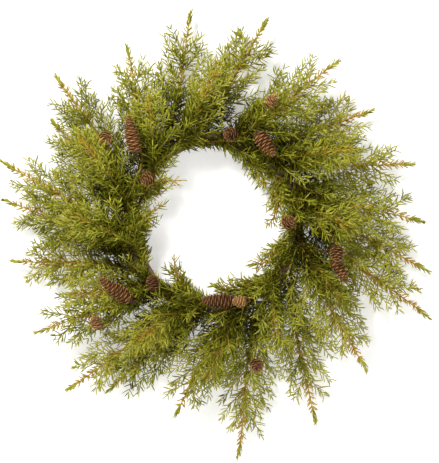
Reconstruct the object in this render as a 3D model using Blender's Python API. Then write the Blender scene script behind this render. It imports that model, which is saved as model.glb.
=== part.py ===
"""Fresh evergreen wreath: larch sprays and cones wired onto a ring of twisted vine canes.

Metres, +Z up. The wreath hangs in the XZ plane with its front towards -Y. The origin is the
point under the top of the ring where a hook bears. A place on the wreath is given by a clock
angle in degrees (0 at the top, clockwise as seen from the front), a radius from the middle of
the ring and a distance towards the front. A place on the ring's own section is given by the
angle round the section (0 outwards, 90 to the front, 180 inwards) and the distance from the
ring's centreline.
"""

import math
from collections import namedtuple

import bmesh
import bpy
import numpy as np

# --- the ring of canes -------------------------------------------------------------------
RING_RADIUS = 0.112
CANE_COUNT = 3
CANE_RADIUS = 0.0043
CANE_GAP = 0.0008
CANE_OFFSET = (2 * CANE_RADIUS + CANE_GAP) / math.sqrt(3)
CANE_TURNS = 4
CANE_STEPS = 44
BUNDLE_RADIUS = CANE_OFFSET + CANE_RADIUS
FIT_GAP = 0.0004
CENTRE = np.array([0.0, 0.0, BUNDLE_RADIUS - RING_RADIUS])
FRONT = np.array([0.0, -1.0, 0.0])

# --- the binding wire --------------------------------------------------------------------
WIRE_RADIUS = 0.0005
WIRE_TURNS = 14
WIRE_PITCH = 360 / WIRE_TURNS
WIRE_STEPS = 10
WIRE_OVER_STEMS = 0.0146
WIRE_OVER_CANES = 0.0111
WIRE_HIGH_SEAT = 62

# --- sprays ------------------------------------------------------------------------------
STEM_RADIUS = 0.0014
STEM_TIP_RADIUS = 0.0007
STEM_LAYER = BUNDLE_RADIUS + FIT_GAP + STEM_RADIUS
STEM_LIFTS = (0, 6, -6, 12, -10, 18, 26, 34)
STEM_GAP = 0.0002
# Shares of the reach at which a stem still follows the ring, and already follows its tip.
STEM_PULLS = (0.28, 0.35)
STEM_MARKS = (0.04, 0.93)
LEAST_BOUND = 5.0
MOST_BOUND = 19.2
BUTT_AHEAD = 4.0
TWIG_RADIUS = 0.0010
TWIG_TIP_RADIUS = 0.0005
TWIG_ANGLE = 42
TWIG_FOOT = 0.25
TWIG_SHARES = (1, 0.8, 0.6, 0.45)
TWIG_TILTS = (0, 16, -16, 32, -32)
TWIG_GAP = 0.0007
TWIG_BEND = 0.22
FIRST_STATION = 0.12
# Nothing grows past the plane that the ring's back lies against.
BACK_LIMIT = 0.012
STATION_LENGTH = 0.0044
# Wall of the stem's square section that faces right, front and left.
WALL_OF_SLOT = {0: 3, 1: 0, 2: 1}

# A kind of spray: the seats its stems take in turn and the front distances of their tips,
# the clock arc from the ring to the tip, the tip's heading from the radial direction and its
# share forwards, the lift off the ring and the roll in degrees, and the twigs it carries:
# how many stations of them, the share of the stem that the last one stands at, and how long.
SprayKind = namedtuple("SprayKind", "name seats fronts arc heading forward lift roll stations last twig")
OUTER = SprayKind("outer_spray", (-24, 10, 46), (0.0, 0.010, 0.022), 28.5, 17, 0.04, 24, 20, 6, 0.69, 0.076)
FACING = SprayKind("front_spray", (80, 112), (0.058, 0.052), 27, 30, 0.12, 30, 24, 5, 0.78, 0.062)
INNER = SprayKind("inner_spray", (146,), (0.026,), 35, 135, 0.10, 24, 20, 3, 0.80, 0.038)

# Clock angle and reach of each spray's tip, going round the wreath.
OUTER_TIPS = (
    (354, 0.284), (15, 0.279), (38, 0.271), (55, 0.260), (74, 0.278), (90, 0.279), (103, 0.296),
    (114, 0.316), (134, 0.282), (153, 0.302), (174, 0.316), (191, 0.262), (212, 0.268),
    (221, 0.297), (238, 0.276), (259, 0.273), (276, 0.280), (286, 0.291), (302, 0.254),
    (313, 0.286), (334, 0.258),
)
FACING_TIPS = tuple((4 + 30 * i, (0.214, 0.190)[i % 2]) for i in range(12))
INNER_TIPS = ((56, 0.080), (96, 0.070), (139, 0.076), (179, 0.084), (231, 0.066), (292, 0.066), (323, 0.068))

# --- cones -------------------------------------------------------------------------------
STALK_RADIUS = 0.0008
STALK_LAYER = BUNDLE_RADIUS + FIT_GAP + STALK_RADIUS
STALK_SEATS = (62, 96, 128, 30)
CROWN_SHARE = 0.3
CONE_SIDES = 6
STALK_HELD = 7
STALK_PULL = 0.35
FIRST_CONE = 100
FIRST_TWIG = 1000
STALK_SHIFTS = (-6, -12, -18, -24, -30, 0, 6, 12)
# Clock angle, radius and front distance of each cone's middle, the clock heading of its
# crown, its lean towards the front in degrees, its length and its greatest radius.
LONG_CONES = (
    (317, 0.155, 0.058, 349, 5, 0.054, 0.0098), (235, 0.155, 0.060, 306, 15, 0.056, 0.0098),
    (176, 0.104, 0.048, 272, 4, 0.047, 0.0103), (34, 0.123, 0.056, 143, 12, 0.041, 0.0102),
    (111, 0.179, 0.050, 150, 8, 0.036, 0.0080),
)
SMALL_CONES = (
    (308, 0.179, 0.054, 178, 50, 0.0185, 0.0084), (304, 0.102, 0.044, 235, 30, 0.0195, 0.0088),
    (12, 0.118, 0.052, 250, 30, 0.0195, 0.0086), (91, 0.099, 0.044, 45, 45, 0.0200, 0.0092),
    (224, 0.113, 0.050, 356, 15, 0.0215, 0.0086), (229, 0.203, 0.040, 345, 20, 0.0195, 0.0082),
    (161, 0.110, 0.064, 275, 12, 0.0190, 0.0074), (163, 0.196, 0.050, 180, 60, 0.0185, 0.0084),
    (104, 0.166, 0.067, 170, 25, 0.0215, 0.0088), (26, 0.175, 0.054, 40, 30, 0.0180, 0.0082),
)


# --- places on the wreath ------------------------------------------------------------------
def clock(angle):
    """Unit vector from the ring's middle towards a clock angle."""
    turn = math.radians(angle)
    return np.array([math.sin(turn), 0.0, math.cos(turn)])


def place(angle, radius, front):
    return CENTRE + clock(angle) * radius + FRONT * front


def outward(angle, seat):
    """Unit vector out of the ring's section at a seat."""
    turn = math.radians(seat)
    return clock(angle) * math.cos(turn) + FRONT * math.sin(turn)


def on_section(angle, seat, distance):
    return CENTRE + clock(angle) * RING_RADIUS + outward(angle, seat) * distance


def unit(vector):
    return vector / np.linalg.norm(vector)


def bezier(a, b, c, d, count):
    t = np.linspace(0, 1, count)[:, None]
    s = 1 - t
    return s**3 * a + 3 * s * s * t * b + 3 * s * t * t * c + t**3 * d


def cane_points(number):
    """Centreline of one cane: a strand that turns round the ring's centreline."""
    angles = np.linspace(0, 360, CANE_STEPS, endpoint=False)
    first = 180 + number * 360 / CANE_COUNT
    return np.array([on_section(a, first + CANE_TURNS * a, CANE_OFFSET) for a in angles])


def wire_distance(seat):
    """The wire lies tight on the canes at the back and rises over the layer of stems."""
    over = min(1, max(0, (math.cos(math.radians(seat - WIRE_HIGH_SEAT)) + 0.55) / 0.5))
    return WIRE_OVER_CANES + (WIRE_OVER_STEMS - WIRE_OVER_CANES) * over


def wire_points():
    """Centreline of the binding wire: a closed coil round the ring."""
    seats = np.linspace(0, 360 * WIRE_TURNS, WIRE_TURNS * WIRE_STEPS, endpoint=False)
    return np.array([on_section(s / WIRE_TURNS, s, wire_distance(s)) for s in seats])


# --- clearances ----------------------------------------------------------------------------
def segment_gaps(p, q, ends_p, ends_q):
    """Distance from the segment p to q to each of many segments."""
    u, v, w = q - p, ends_q - ends_p, p - ends_p
    a, b, c = u @ u, v @ u, np.einsum("ij,ij->i", v, v)
    d, e = w @ u, np.einsum("ij,ij->i", v, w)
    area = a * c - b * b
    s = np.clip(np.where(area > 1e-14, (b * e - c * d) / np.maximum(area, 1e-14), 0), 0, 1)
    t = np.clip((b * s + e) / np.maximum(c, 1e-14), 0, 1)
    s = np.clip((b * t - d) / max(a, 1e-14), 0, 1)
    between = w + s[:, None] * u - t[:, None] * v
    return np.sqrt(np.einsum("ij,ij->i", between, between))


class Thicket:
    """Every limb placed so far, as round-ended segments with a radius and an owner."""

    def __init__(self):
        self.rows = np.empty((0, 8))

    def add(self, points, radii, owner):
        widest = np.maximum(radii[:-1], radii[1:])
        owners = np.full(len(widest), owner)
        new = np.column_stack([points[:-1], points[1:], widest, owners])
        self.rows = np.vstack([self.rows, new])

    def room(self, points, radii, ignored=()):
        """Smallest gap between a limb and everything placed so far by other owners."""
        rows = self.rows[~np.isin(self.rows[:, 7], ignored)]
        if not len(rows):
            return 1.0
        widest = np.maximum(radii[:-1], radii[1:])
        return min(
            (segment_gaps(p, q, rows[:, :3], rows[:, 3:6]) - rows[:, 6] - r).min()
            for p, q, r in zip(points[:-1], points[1:], widest)
        )


# --- the plan of the sprays ------------------------------------------------------------------
def held_at(wanted, seat):
    """Clock angle where a stem leaves the ring, moved clear of the wire, and its bound arc."""
    crossing = WIRE_PITCH * seat / 360
    past = (wanted - crossing) % WIRE_PITCH
    middle = (LEAST_BOUND + MOST_BOUND) / 2
    kept = min(MOST_BOUND, max(LEAST_BOUND, past))
    if not LEAST_BOUND <= past <= MOST_BOUND and past < middle - WIRE_PITCH / 2:
        kept = MOST_BOUND
    return wanted - past + kept, kept + BUTT_AHEAD


def stem_line(leave, bound, seat, tip, aim, lift):
    """Centreline of a spray's stem: along the ring under the wire, then off it to the tip."""
    held = np.array([on_section(a, seat, STEM_LAYER) for a in np.linspace(leave - bound, leave, 4)])
    start = held[-1]
    reach = np.linalg.norm(tip - start)
    turn = math.radians(lift)
    away = clock(leave + 90) * math.cos(turn) + outward(leave, seat) * math.sin(turn)
    first, last = STEM_PULLS[0] * reach, STEM_PULLS[1] * reach
    return held, bezier(start, start + away * first, tip - aim * last, tip, 25)


def plan_stems(thicket):
    """Lays every stem in its seat, lifted off the ring at the first slope that has room."""
    sprays = []
    for kind, tips in ((OUTER, OUTER_TIPS), (FACING, FACING_TIPS), (INNER, INNER_TIPS)):
        for i, (angle, reach) in enumerate(tips):
            seat = kind.seats[i % len(kind.seats)]
            tip = place(angle, reach, kind.fronts[i % len(kind.fronts)])
            aim = unit(clock(angle + kind.heading) + FRONT * kind.forward)
            leave, bound = held_at(angle - kind.arc, seat)
            most_room = -1
            for change in STEM_LIFTS:
                held, free = stem_line(leave, bound, seat, tip, aim, kind.lift + change)
                line = np.vstack([held, free[1:]])
                room = thicket.room(line, np.full(len(line), STEM_RADIUS))
                if room > most_room:
                    most_room, best = room, (held, free, line)
                if room > STEM_GAP:
                    break
            held, free, line = best
            thicket.add(line, np.full(len(line), STEM_RADIUS), len(sprays))
            sprays.append(dict(name=f"{kind.name}_{i + 1:02d}", kind=kind, held=held, free=free,
                               twigs=[]))
    return sprays


# --- the plan of the cones -------------------------------------------------------------------
def cone_axis(heading, lean):
    turn = math.radians(lean)
    return clock(heading) * math.cos(turn) + FRONT * math.sin(turn)


def cone_outline(length, radius):
    """Distances along a closed cone and its radius there, fullest below the middle."""
    along = np.array([0.0, 0.07, 0.22, 0.45, 0.68, 0.87])
    wide = np.array([0.40, 0.78, 1.0, 0.97, 0.76, 0.46])
    return along * length, wide * radius


def stalk_line(angle, seat, base, axis):
    """Centreline of a stalk: a short hold on the ring, then a bow to the foot of the cone."""
    held = np.array([on_section(a, seat, STALK_LAYER) for a in (angle - STALK_HELD, angle)])
    start = held[-1]
    reach = np.linalg.norm(base - start)
    away = clock(angle + 90) * 0.75 + outward(angle, seat) * 0.66
    pull = STALK_PULL * reach
    bow = bezier(start, start + away * pull, base - axis * pull, base, 6)
    return np.vstack([held, bow[1:]])


def plan_cones(thicket):
    """Each stalk starts from the seat and place on the ring that leave it the most room."""
    cones = []
    rows = [("long_cone", i, row) for i, row in enumerate(LONG_CONES)]
    rows += [("small_cone", i, row) for i, row in enumerate(SMALL_CONES)]
    for number, (kind, index, row) in enumerate(rows):
        angle, ring_radius, front, heading, lean, length, radius = row
        axis = cone_axis(heading, lean)
        base = place(angle, ring_radius, front) - axis * length / 2
        tried = [stalk_line(angle + shift, seat, base, axis)
                 for seat in STALK_SEATS for shift in STALK_SHIFTS]
        stalk = max(tried, key=lambda line: thicket.room(line, np.full(len(line), STALK_RADIUS)))
        along, wide = cone_outline(length, radius)
        body = base + axis * np.append(along, length)[:, None]
        owner = FIRST_CONE + number
        thicket.add(stalk, np.full(len(stalk), STALK_RADIUS), owner)
        thicket.add(body, np.append(wide, CROWN_SHARE * radius), owner)
        cones.append(dict(name=f"{kind}_{index + 1:02d}", stalk=stalk, base=base, axis=axis,
                          length=length, radius=radius))
    return cones


# --- the plan of the twigs -------------------------------------------------------------------
def frames(direction, roll):
    """Right and front side of a limb, rolled so that its right side comes forward."""
    front = unit(FRONT - direction * (FRONT @ direction))
    right = np.cross(direction, front)
    turn = math.radians(roll)
    return (right * math.cos(turn) + front * math.sin(turn),
            front * math.cos(turn) - right * math.sin(turn))


def twig_line(start, direction, side, angle, length):
    """Centreline of a twig: out from the stem, bending gently back along it."""
    turn = math.radians(angle)
    first = direction * math.cos(turn) + side * math.sin(turn)
    bend = direction - first * (direction @ first)
    t = np.array([0, 0.45, 1])[:, None]
    return start + length * (t * first + TWIG_BEND * t * t * bend)


def resampled(line, distances):
    steps = np.linalg.norm(np.diff(line, axis=0), axis=1)
    along = np.concatenate([[0], np.cumsum(steps)])
    return np.column_stack([np.interp(distances, along, line[:, k]) for k in range(3)]), along[-1]


def stations_of(spray):
    """Places along the free stem where twigs grow, with the stem's direction there."""
    _, total = resampled(spray["free"], [0])
    shares = np.linspace(FIRST_STATION, spray["kind"].last, spray["kind"].stations)
    points, _ = resampled(spray["free"], shares * total)
    ahead, _ = resampled(spray["free"], shares * total + 0.003)
    return shares, points, [unit(step) for step in ahead - points]


def twig_with_room(thicket, number, start, direction, side, cross, tilt, angle, length):
    """The longest and least tilted twig that clears all that is placed, or None."""
    radii = np.linspace(TWIG_RADIUS, TWIG_TIP_RADIUS, 3)
    for share in TWIG_SHARES:
        for more in TWIG_TILTS:
            turn = math.radians(tilt + more)
            leaning = side * math.cos(turn) + cross * math.sin(turn)
            line = twig_line(start, direction, leaning, angle, length * share)
            past_foot = line.copy()
            past_foot[0] += TWIG_FOOT * (line[1] - line[0])
            own = (number, FIRST_TWIG + number)
            if line[:, 1].max() > BACK_LIMIT or thicket.room(line, radii, own) < TWIG_GAP:
                continue
            if thicket.room(past_foot, radii, own[:1]) < TWIG_GAP:
                continue
            thicket.add(past_foot, radii, FIRST_TWIG + number)
            return line
    return None


def plan_twigs(sprays, thicket):
    """Grows every spray's twigs, one station at a time, each where it has room."""
    random = np.random.default_rng(24)
    for step in range(max(spray["kind"].stations for spray in sprays)):
        for number, spray in enumerate(sprays):
            if step >= spray["kind"].stations:
                continue
            shares, points, directions = stations_of(spray)
            right, front = frames(directions[step], spray["kind"].roll)
            wanted = spray["kind"].twig * (1.12 - 0.86 * shares[step])
            slots = [(0, right, front, 1), (2, -right, front, 1)]
            if step % 2 == 0:
                slots.append((1, front, right, 0.75))
            for slot, side, cross, share in slots:
                length = wanted * share * random.uniform(0.85, 1.12)
                angle = TWIG_ANGLE + random.uniform(-6, 6)
                tilt = random.uniform(-12, 12)
                line = twig_with_room(thicket, number, points[step], directions[step], side,
                                      cross, tilt, angle, length)
                if line is not None:
                    spray["twigs"].append(dict(step=step, slot=slot, line=line))


def plan_wreath():
    thicket = Thicket()
    for number in range(CANE_COUNT):
        cane = cane_points(number)
        cane = np.vstack([cane, cane[:1]])
        thicket.add(cane, np.full(len(cane), CANE_RADIUS), -1)
    wire = wire_points()
    wire = np.vstack([wire, wire[:1]])
    thicket.add(wire, np.full(len(wire), WIRE_RADIUS), -2)
    sprays = plan_stems(thicket)
    cones = plan_cones(thicket)
    plan_twigs(sprays, thicket)
    return sprays, cones


# --- materials -------------------------------------------------------------------------------
def painted(name, colour, roughness, metallic=0.0):
    material = bpy.data.materials.new(name)
    material.use_nodes = True
    material.diffuse_color = (*colour, 1)
    shader = material.node_tree.nodes["Principled BSDF"]
    shader.inputs["Base Color"].default_value = (*colour, 1)
    shader.inputs["Roughness"].default_value = roughness
    shader.inputs["Metallic"].default_value = metallic
    return material


# --- solids ----------------------------------------------------------------------------------
def placed(name, data, material, root):
    data.materials.append(material)
    piece = bpy.data.objects.new(name, data)
    piece.parent = root
    bpy.context.scene.collection.objects.link(piece)
    return piece


def wound(name, points, radius, bevel_resolution):
    """A closed loop of round rod along the points."""
    curve = bpy.data.curves.new(name, "CURVE")
    curve.dimensions = "3D"
    curve.bevel_depth = radius
    curve.bevel_resolution = bevel_resolution
    spline = curve.splines.new("POLY")
    spline.points.add(len(points) - 1)
    for knot, point in zip(spline.points, points):
        knot.co = (*point, 1)
    spline.use_cyclic_u = True
    return curve


def section(mesh, point, direction, roll, radius, sides):
    """A ring of corners round a limb, the first one half a wall away from its right side."""
    right, front = frames(direction, roll)
    turns = (np.arange(sides) + 0.5) * math.tau / sides
    return [mesh.verts.new(point + radius * (math.cos(a) * right + math.sin(a) * front))
            for a in turns]


def skinned(mesh, rings):
    """Walls between neighbouring rings and a flat foot: the walls, ring by ring, and the end."""
    mesh.faces.new(rings[0][::-1])
    walls = []
    for low, high in zip(rings[:-1], rings[1:]):
        walls.append([mesh.faces.new((low[i], low[i - len(low) + 1], high[i - len(low) + 1], high[i]))
                      for i in range(len(low))])
    return walls, mesh.faces.new(rings[-1])


def pointed(mesh, face, tip):
    """Draws a face out to a point."""
    bmesh.ops.poke(mesh, faces=[face])["verts"][0].co = tip


def landed(face, point, direction, roll, radius):
    """Moves an extruded face to a square section of a twig, keeping its corners in order."""
    right, front = frames(direction, roll)
    corners = np.array([v.co for v in face.verts])
    spread = corners - corners.mean(axis=0)
    bearings = np.arctan2(spread @ front, spread @ right)
    order = np.argsort(bearings)
    quarters = np.arange(4) * math.pi / 2
    turns = (bearings[order] - quarters).mean() + quarters
    for corner, turn in zip(order, turns):
        offset = math.cos(turn) * right + math.sin(turn) * front
        face.verts[corner].co = point + radius * offset


def grown(mesh, face, twig, roll):
    """A twig drawn out of one wall of the stem: one bend, then a point."""
    _, bend, tip = twig["line"]
    direction = unit(tip - bend)
    drawn = bmesh.ops.extrude_discrete_faces(mesh, faces=[face])["faces"][0]
    landed(drawn, bend, direction, roll, (TWIG_RADIUS + TWIG_TIP_RADIUS) / 2)
    pointed(mesh, drawn, tip)


def closed_mesh(name, mesh):
    bmesh.ops.recalc_face_normals(mesh, faces=mesh.faces)
    data = bpy.data.meshes.new(name)
    mesh.to_mesh(data)
    mesh.free()
    return data


def spray_mesh(spray):
    """A stem of square section with its twigs drawn out of the walls at its stations."""
    shares, points, directions = stations_of(spray)
    free = spray["free"]
    _, total = resampled(free, [0])
    half = STATION_LENGTH / 2
    marks = [STEM_MARKS[0] * total]
    for share in shares:
        marks += [share * total - half, share * total + half]
    marks.append(STEM_MARKS[1] * total)
    marks = np.array(marks)
    centres, _ = resampled(free, marks)
    ahead, _ = resampled(free, marks + 0.002)
    held = spray["held"]
    line = list(held) + list(centres)
    aims = [unit(b - a) for a, b in zip(held[:-1], held[1:])]
    aims.append(aims[-1])
    aims += [unit(b - a) for a, b in zip(centres, ahead)]
    radii = [STEM_RADIUS] * len(held)
    radii += list(STEM_RADIUS + (STEM_TIP_RADIUS - STEM_RADIUS) * marks / total)
    mesh = bmesh.new()
    rings = [section(mesh, p, d, spray["kind"].roll, r, 4) for p, d, r in zip(line, aims, radii)]
    walls, end = skinned(mesh, rings)
    pointed(mesh, end, free[-1])
    first = len(held) + 1
    for twig in spray["twigs"]:
        wall = walls[first + 2 * twig["step"]][WALL_OF_SLOT[twig["slot"]]]
        grown(mesh, wall, twig, spray["kind"].roll)
    return closed_mesh(spray["name"], mesh)


def cone_mesh(cone):
    """A closed cone on its stalk, in one skin from the butt of the stalk to the crown."""
    stalk, axis = cone["stalk"], cone["axis"]
    along, wide = cone_outline(cone["length"], cone["radius"])
    body = cone["base"] + axis * along[:, None]
    aims = [unit(b - a) for a, b in zip(stalk[:-1], stalk[1:])]
    aims.append(axis)
    mesh = bmesh.new()
    rings = [section(mesh, p, d, 0, STALK_RADIUS, CONE_SIDES) for p, d in zip(stalk, aims)]
    rings += [section(mesh, p, axis, 0, r, CONE_SIDES) for p, r in zip(body, wide)]
    _, end = skinned(mesh, rings)
    pointed(mesh, end, cone["base"] + axis * cone["length"])
    return closed_mesh(cone["name"], mesh)


# --- the wreath ------------------------------------------------------------------------------
def main():
    for old in list(bpy.data.objects):
        bpy.data.objects.remove(old, do_unlink=True)
    bark = painted("vine_bark", (0.13, 0.07, 0.035), 0.85)
    wire = painted("florist_wire", (0.05, 0.08, 0.04), 0.45, 0.6)
    foliage = painted("larch_foliage", (0.20, 0.22, 0.035), 0.6)
    scales = painted("cone_scales", (0.12, 0.045, 0.025), 0.7)
    root = bpy.data.objects.new("hanging_point", None)
    bpy.context.scene.collection.objects.link(root)
    sprays, cones = plan_wreath()
    for number in range(CANE_COUNT):
        name = f"vine_cane_{number + 1}"
        placed(name, wound(name, cane_points(number), CANE_RADIUS, 1), bark, root)
    placed("binding_wire", wound("binding_wire", wire_points(), WIRE_RADIUS, 0), wire, root)
    for spray in sprays:
        placed(spray["name"], spray_mesh(spray), foliage, root)
    for cone in cones:
        placed(cone["name"], cone_mesh(cone), scales, root)


if __name__ == "__main__":
    main()
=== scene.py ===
"""The looks of the fresh evergreen wreath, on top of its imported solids.

Every spray gets its bark, side shoots and needles, every cone its scales, the canes their bark
and the binding wire its enamel. The plan of the limbs repeats the rules that the solids were
made by: a place on the wreath is a clock angle in degrees (0 at the top, clockwise as seen
from the front), a radius from the middle of the ring and a distance towards the front.
"""

import math
from collections import namedtuple

import bpy
import numpy as np
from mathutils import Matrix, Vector


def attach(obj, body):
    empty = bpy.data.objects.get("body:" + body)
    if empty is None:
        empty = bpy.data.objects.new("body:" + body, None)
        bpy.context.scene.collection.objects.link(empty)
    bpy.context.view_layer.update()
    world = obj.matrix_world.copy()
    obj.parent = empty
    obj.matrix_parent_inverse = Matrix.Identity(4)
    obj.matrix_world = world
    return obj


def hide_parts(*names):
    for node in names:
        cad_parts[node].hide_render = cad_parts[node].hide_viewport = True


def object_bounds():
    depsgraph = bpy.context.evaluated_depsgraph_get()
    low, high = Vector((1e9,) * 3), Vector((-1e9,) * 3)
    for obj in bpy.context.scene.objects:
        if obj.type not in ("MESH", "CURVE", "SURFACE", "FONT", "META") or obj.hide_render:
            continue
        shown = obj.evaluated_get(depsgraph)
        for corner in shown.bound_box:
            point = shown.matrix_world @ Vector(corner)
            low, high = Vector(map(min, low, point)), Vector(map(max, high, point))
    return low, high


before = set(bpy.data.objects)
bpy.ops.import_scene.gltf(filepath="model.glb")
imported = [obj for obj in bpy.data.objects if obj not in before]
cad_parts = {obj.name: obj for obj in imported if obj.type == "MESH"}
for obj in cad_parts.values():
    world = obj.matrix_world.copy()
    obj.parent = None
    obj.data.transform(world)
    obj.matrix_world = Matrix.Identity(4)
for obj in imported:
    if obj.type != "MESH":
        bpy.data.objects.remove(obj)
cad_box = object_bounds()

# --- the ring of canes ---
RING_RADIUS = 0.112
CANE_COUNT = 3
CANE_RADIUS = 0.0043
CANE_GAP = 0.0008
CANE_OFFSET = (2 * CANE_RADIUS + CANE_GAP) / math.sqrt(3)
CANE_TURNS = 4
CANE_STEPS = 44
BUNDLE_RADIUS = CANE_OFFSET + CANE_RADIUS
FIT_GAP = 0.0004
CENTRE = np.array([0.0, 0.0, BUNDLE_RADIUS - RING_RADIUS])
FRONT = np.array([0.0, -1.0, 0.0])

# --- the binding wire ---
WIRE_RADIUS = 0.0005
WIRE_TURNS = 14
WIRE_PITCH = 360 / WIRE_TURNS
WIRE_STEPS = 10
WIRE_OVER_STEMS = 0.0146
WIRE_OVER_CANES = 0.0111
WIRE_HIGH_SEAT = 62

# --- sprays ---
STEM_RADIUS = 0.0014
STEM_TIP_RADIUS = 0.0007
STEM_LAYER = BUNDLE_RADIUS + FIT_GAP + STEM_RADIUS
STEM_LIFTS = (0, 6, -6, 12, -10, 18, 26, 34)
STEM_GAP = 0.0002
# Shares of the reach at which a stem still follows the ring, and already follows its tip.
STEM_PULLS = (0.28, 0.35)
LEAST_BOUND = 5.0
MOST_BOUND = 19.2
BUTT_AHEAD = 4.0
TWIG_RADIUS = 0.0010
TWIG_TIP_RADIUS = 0.0005
TWIG_ANGLE = 42
TWIG_FOOT = 0.25
TWIG_SHARES = (1, 0.8, 0.6, 0.45)
TWIG_TILTS = (0, 16, -16, 32, -32)
TWIG_GAP = 0.0007
TWIG_BEND = 0.22
FIRST_STATION = 0.12
# Nothing grows past the plane that the ring's back lies against.
BACK_LIMIT = 0.012

# A kind of spray: the seats its stems take in turn and the front distances of their tips,
# the clock arc from the ring to the tip, the tip's heading from the radial direction and its
# share forwards, the lift off the ring and the roll in degrees, and the twigs it carries:
# how many stations of them, the share of the stem that the last one stands at, and how long.
SprayKind = namedtuple(
    "SprayKind", "name seats fronts arc heading forward lift roll stations last twig")
OUTER = SprayKind(
    "outer_spray", (-24, 10, 46), (0.0, 0.010, 0.022), 28.5, 17, 0.04, 24, 20, 6, 0.69, 0.076)
FACING = SprayKind(
    "front_spray", (80, 112), (0.058, 0.052), 27, 30, 0.12, 30, 24, 5, 0.78, 0.062)
INNER = SprayKind(
    "inner_spray", (146,), (0.026,), 35, 135, 0.10, 24, 20, 3, 0.80, 0.038)

# Clock angle and reach of each spray's tip, going round the wreath.
OUTER_TIPS = (
    (354, 0.284), (15, 0.279), (38, 0.271), (55, 0.260), (74, 0.278), (90, 0.279), (103, 0.296),
    (114, 0.316), (134, 0.282), (153, 0.302), (174, 0.316), (191, 0.262), (212, 0.268),
    (221, 0.297), (238, 0.276), (259, 0.273), (276, 0.280), (286, 0.291), (302, 0.254),
    (313, 0.286), (334, 0.258),
)
FACING_TIPS = tuple((4 + 30 * i, (0.214, 0.190)[i % 2]) for i in range(12))
INNER_TIPS = (
    (56, 0.080), (96, 0.070), (139, 0.076), (179, 0.084), (231, 0.066), (292, 0.066), (323, 0.068),
)

# --- cones ---
STALK_RADIUS = 0.0008
STALK_LAYER = BUNDLE_RADIUS + FIT_GAP + STALK_RADIUS
STALK_SEATS = (62, 96, 128, 30)
CROWN_SHARE = 0.3
STALK_HELD = 7
STALK_PULL = 0.35
FIRST_CONE = 100
FIRST_TWIG = 1000
STALK_SHIFTS = (-6, -12, -18, -24, -30, 0, 6, 12)
# Clock angle, radius and front distance of each cone's middle, the clock heading of its
# crown, its lean towards the front in degrees, its length and its greatest radius.
LONG_CONES = (
    (317, 0.155, 0.058, 349, 5, 0.054, 0.0098), (235, 0.155, 0.060, 306, 15, 0.056, 0.0098),
    (176, 0.104, 0.048, 272, 4, 0.047, 0.0103), (34, 0.123, 0.056, 143, 12, 0.041, 0.0102),
    (111, 0.179, 0.050, 150, 8, 0.036, 0.0080),
)
SMALL_CONES = (
    (308, 0.179, 0.054, 178, 50, 0.0185, 0.0084), (304, 0.102, 0.044, 235, 30, 0.0195, 0.0088),
    (12, 0.118, 0.052, 250, 30, 0.0195, 0.0086), (91, 0.099, 0.044, 45, 45, 0.0200, 0.0092),
    (224, 0.113, 0.050, 356, 15, 0.0215, 0.0086), (229, 0.203, 0.040, 345, 20, 0.0195, 0.0082),
    (161, 0.110, 0.064, 275, 12, 0.0190, 0.0074), (163, 0.196, 0.050, 180, 60, 0.0185, 0.0084),
    (104, 0.166, 0.067, 170, 25, 0.0215, 0.0088), (26, 0.175, 0.054, 40, 30, 0.0180, 0.0082),
)


# --- places on the wreath ---
def clock(angle):
    """Unit vector from the ring's middle towards a clock angle."""
    turn = math.radians(angle)
    return np.array([math.sin(turn), 0.0, math.cos(turn)])


def place(angle, radius, front):
    """Point at a clock angle, a radius from the middle and a distance towards the front."""
    return CENTRE + clock(angle) * radius + FRONT * front


def outward(angle, seat):
    """Unit vector out of the ring's section at a seat."""
    turn = math.radians(seat)
    return clock(angle) * math.cos(turn) + FRONT * math.sin(turn)


def on_section(angle, seat, distance):
    """Point at a distance from the ring's centreline, at a seat round its section."""
    return CENTRE + clock(angle) * RING_RADIUS + outward(angle, seat) * distance


def unit(vector):
    """One vector divided by its length."""
    return vector / np.linalg.norm(vector)


def bezier(a, b, c, d, count):
    """Points of the cubic curve with those four control points."""
    t = np.linspace(0, 1, count)[:, None]
    s = 1 - t
    return s**3 * a + 3 * s * s * t * b + 3 * s * t * t * c + t**3 * d


def cane_line(number, count):
    """Centreline of one cane, a strand that turns round the ring's centreline, and the unit
    vector out of the ring's section at each of its points."""
    angles = np.linspace(0, 360, count, endpoint=False)
    seats = 180 + number * 360 / CANE_COUNT + CANE_TURNS * angles
    line = np.array([on_section(a, s, CANE_OFFSET) for a, s in zip(angles, seats)])
    return line, np.array([outward(a, s) for a, s in zip(angles, seats)])


def wire_distance(seat):
    """The wire lies tight on the canes at the back and rises over the layer of stems."""
    over = min(1, max(0, (math.cos(math.radians(seat - WIRE_HIGH_SEAT)) + 0.55) / 0.5))
    return WIRE_OVER_CANES + (WIRE_OVER_STEMS - WIRE_OVER_CANES) * over


def wire_line(steps):
    """Centreline of the binding wire, a closed coil round the ring with that many points to a
    turn, and the unit vector out of the ring's section at each of them."""
    seats = np.linspace(0, 360 * WIRE_TURNS, WIRE_TURNS * steps, endpoint=False)
    line = np.array([on_section(s / WIRE_TURNS, s, wire_distance(s)) for s in seats])
    return line, np.array([outward(s / WIRE_TURNS, s) for s in seats])


# --- clearances ---
def segment_gaps(p, q, ends_p, ends_q):
    """Distance from the segment p to q to each of many segments."""
    u, v, w = q - p, ends_q - ends_p, p - ends_p
    a, b, c = u @ u, v @ u, np.einsum("ij,ij->i", v, v)
    d, e = w @ u, np.einsum("ij,ij->i", v, w)
    area = a * c - b * b
    s = np.clip(np.where(area > 1e-14, (b * e - c * d) / np.maximum(area, 1e-14), 0), 0, 1)
    t = np.clip((b * s + e) / np.maximum(c, 1e-14), 0, 1)
    s = np.clip((b * t - d) / max(a, 1e-14), 0, 1)
    between = w + s[:, None] * u - t[:, None] * v
    return np.sqrt(np.einsum("ij,ij->i", between, between))


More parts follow.
